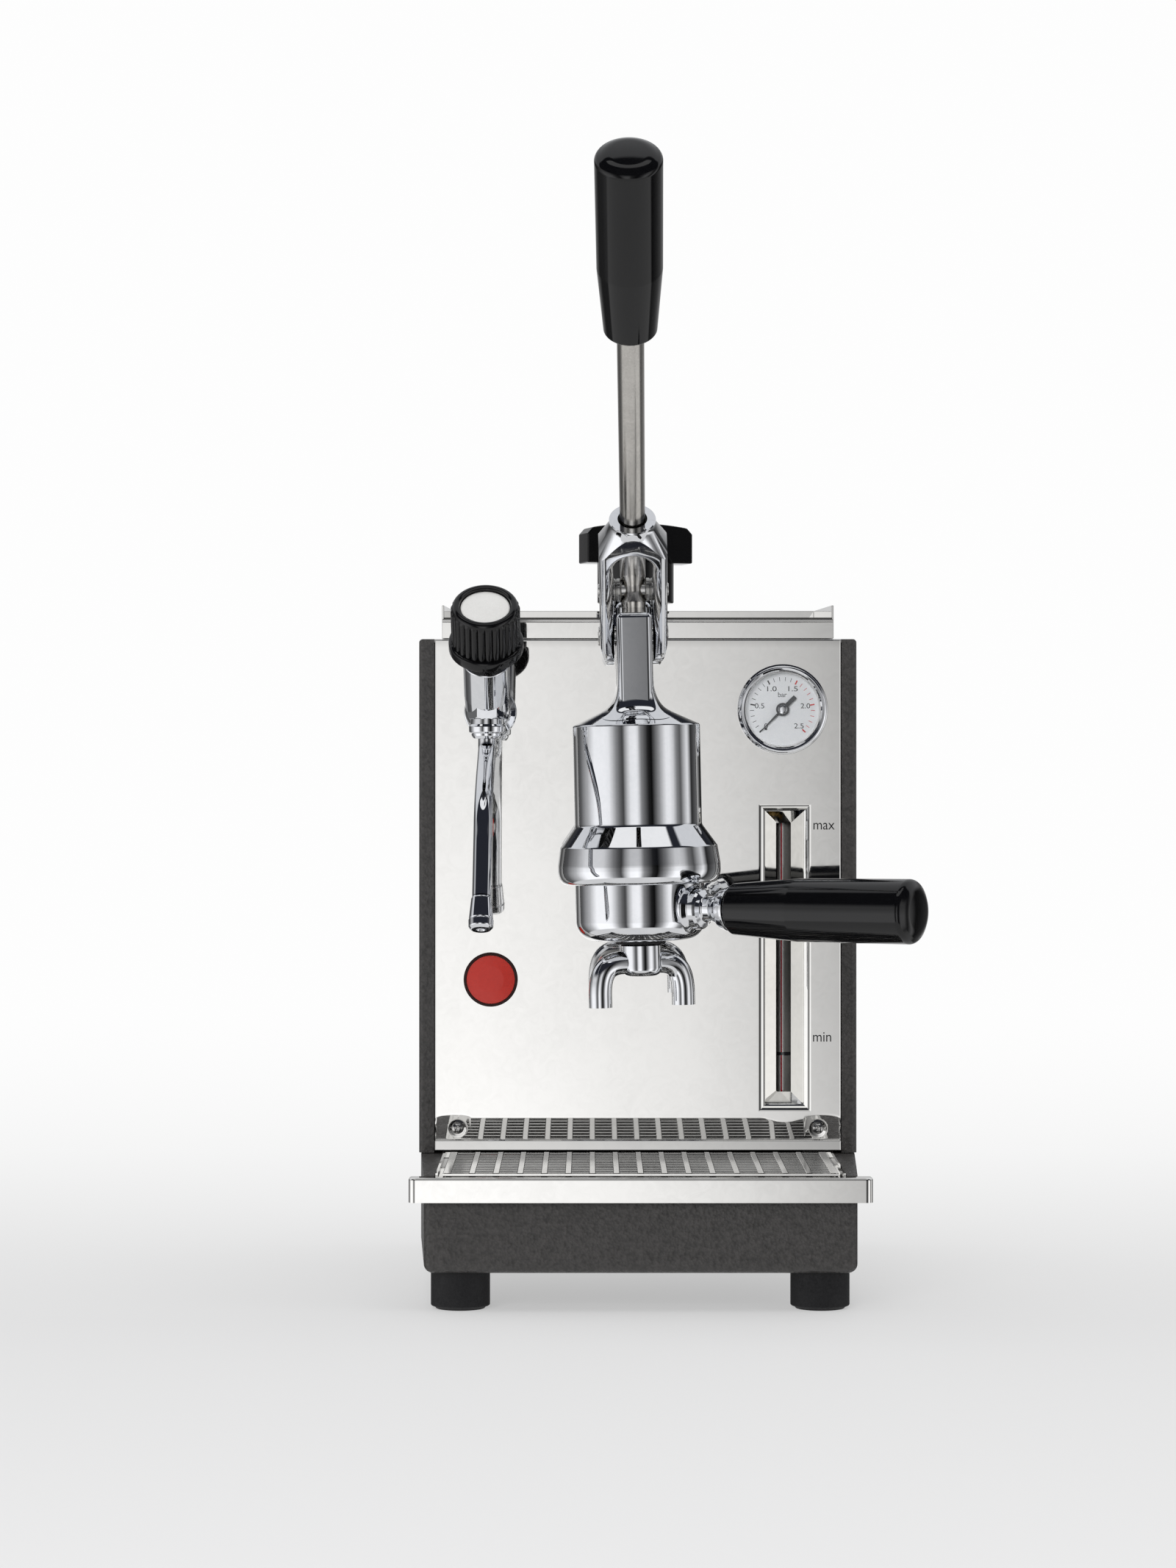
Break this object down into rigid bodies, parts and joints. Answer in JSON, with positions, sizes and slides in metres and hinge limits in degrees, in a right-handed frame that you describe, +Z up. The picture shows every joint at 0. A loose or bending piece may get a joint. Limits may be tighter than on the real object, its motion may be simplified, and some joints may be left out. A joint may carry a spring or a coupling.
{
  "type": "lever espresso machine",
  "caption": "Countertop lever espresso machine: polished front, painted housing, chrome group with hand lever, portafilter, steam wand, gauge, sight glass and drip tray.",
  "frame": {"origin": "middle of the whole machine's footprint box, on the table that its feet stand on", "axes": "+Z up, +X to the right as the user faces the machine, +Y from the front to the back"},
  "size_m": [0.2216, 0.395, 0.4891],
  "materials": {
    "paint": "dark grey textured paint",
    "mirror": "mirror-polished stainless steel",
    "chrome": "bright chrome plate",
    "steel": "turned and brushed stainless steel",
    "bakelite": "glossy black bakelite",
    "rubber": "matt black rubber",
    "brass": "plain brass",
    "enamel": "red enamel in a dark rim",
    "dial": "matt white print",
    "ink": "dark grey paint",
    "glass": "clear glass",
    "satin": "satin aluminium",
    "plastic": "matt black moulding"
  },
  "bodies": {
    "machine": {"base_pan": "paint", "foot_front_left": "rubber", "foot_front_right": "rubber", "foot_back_left": "rubber", "foot_back_right": "rubber", "housing_shell": "paint", "front_panel": "mirror", "panel_screw_left": "steel", "panel_screw_right": "steel", "top_plate": "steel", "cup_tray": "mirror", "badge": "enamel", "boiler_shell": "steel", "boiler_stand": "steel", "heating_element": "steel", "safety_valve": "brass", "pressurestat": "plastic", "gauge_case": "satin", "gauge_bezel": "chrome", "gauge_dial": "dial", "gauge_lens": "glass", "gauge_pipe": "brass", "sight_glass": "glass", "sight_socket_low": "brass", "sight_socket_high": "brass", "steam_valve_body": "chrome", "wand_nut": "chrome", "steam_pipe": "brass", "group_body": "chrome", "group_gasket": "rubber", "shower_screen": "steel", "switch_frame": "plastic", "mains_inlet": "plastic"},
    "drip_tray": {"drip_tray": "mirror"},
    "drip_grille": {"drip_grille": "steel"},
    "boiler_cap": {"boiler_cap": "bakelite", "cap_gasket": "rubber"},
    "gauge_needle": {"gauge_needle": "ink"},
    "steam_knob": {"steam_knob": "bakelite", "knob_disc": "satin", "steam_spindle": "steel"},
    "steam_wand": {"steam_wand": "chrome", "wand_tip": "chrome"},
    "piston": {"piston": "brass", "piston_seal_low": "rubber", "piston_seal_high": "rubber", "piston_rod": "steel", "rod_pin": "steel"},
    "lever": {"lever_fork": "chrome", "fork_pin": "steel", "lever_rod": "steel", "lever_grip": "bakelite"},
    "portafilter": {"portafilter_body": "chrome", "filter_basket": "steel", "portafilter_grip": "bakelite", "spout_gasket": "rubber", "spout": "chrome"},
    "power_switch": {"power_switch": "plastic"}
  },
  "joints": [
    {"name": "piston_slide", "type": "slide", "parent": "machine", "child": "piston", "axis": [-0.0218, 0, 0.9998], "range_m": [-0.0251, 0.0115]},
    {"name": "lever_turn", "type": "hinge", "parent": "piston", "child": "lever", "pos_m": [-0.01359, -0.02234, 0.31398], "axis": [0.9998, 0, 0.0218], "range_deg": [-25, 55]},
    {"name": "portafilter_turn", "type": "hinge", "parent": "machine", "child": "portafilter", "pos_m": [-0.01089, -0.02234, 0.19001], "axis": [-0.0218, 0, 0.9998], "range_deg": [-70, 0]},
    {"name": "drip_tray_lift", "type": "slide", "parent": "machine", "child": "drip_tray", "axis": [0, 0, 1], "range_m": [0, 0.045]},
    {"name": "drip_grille_lift", "type": "slide", "parent": "drip_tray", "child": "drip_grille", "axis": [0, 0, 1], "range_m": [0, 0.015]},
    {"name": "steam_knob_turn", "type": "hinge", "parent": "machine", "child": "steam_knob", "pos_m": [-0.07813, -0.01934, 0.2606], "axis": [0, -0.682, 0.7314], "range_deg": [0, 300]},
    {"name": "steam_wand_swivel", "type": "hinge", "parent": "machine", "child": "steam_wand", "pos_m": [-0.07813, -0.02534, 0.25], "axis": [0, 0, 1], "range_deg": [-80, 30]},
    {"name": "boiler_cap_turn", "type": "hinge", "parent": "machine", "child": "boiler_cap", "pos_m": [-0.01083, 0.12466, 0.32], "axis": [0, 0, 1], "range_deg": [0, 340]},
    {"name": "gauge_needle_turn", "type": "hinge", "parent": "machine", "child": "gauge_needle", "pos_m": [0.05537, 0.03066, 0.2622], "axis": [0, 1, 0], "range_deg": [0, 270]},
    {"name": "power_switch_rock", "type": "hinge", "parent": "machine", "child": "power_switch", "pos_m": [0.06617, 0.19046, 0.13], "axis": [1, 0, 0], "range_deg": [-16, 0]}
  ],
  "couplings": [
    {"joint": "piston_slide", "follows": "lever_turn", "m_per_rad": -0.026}
  ]
}
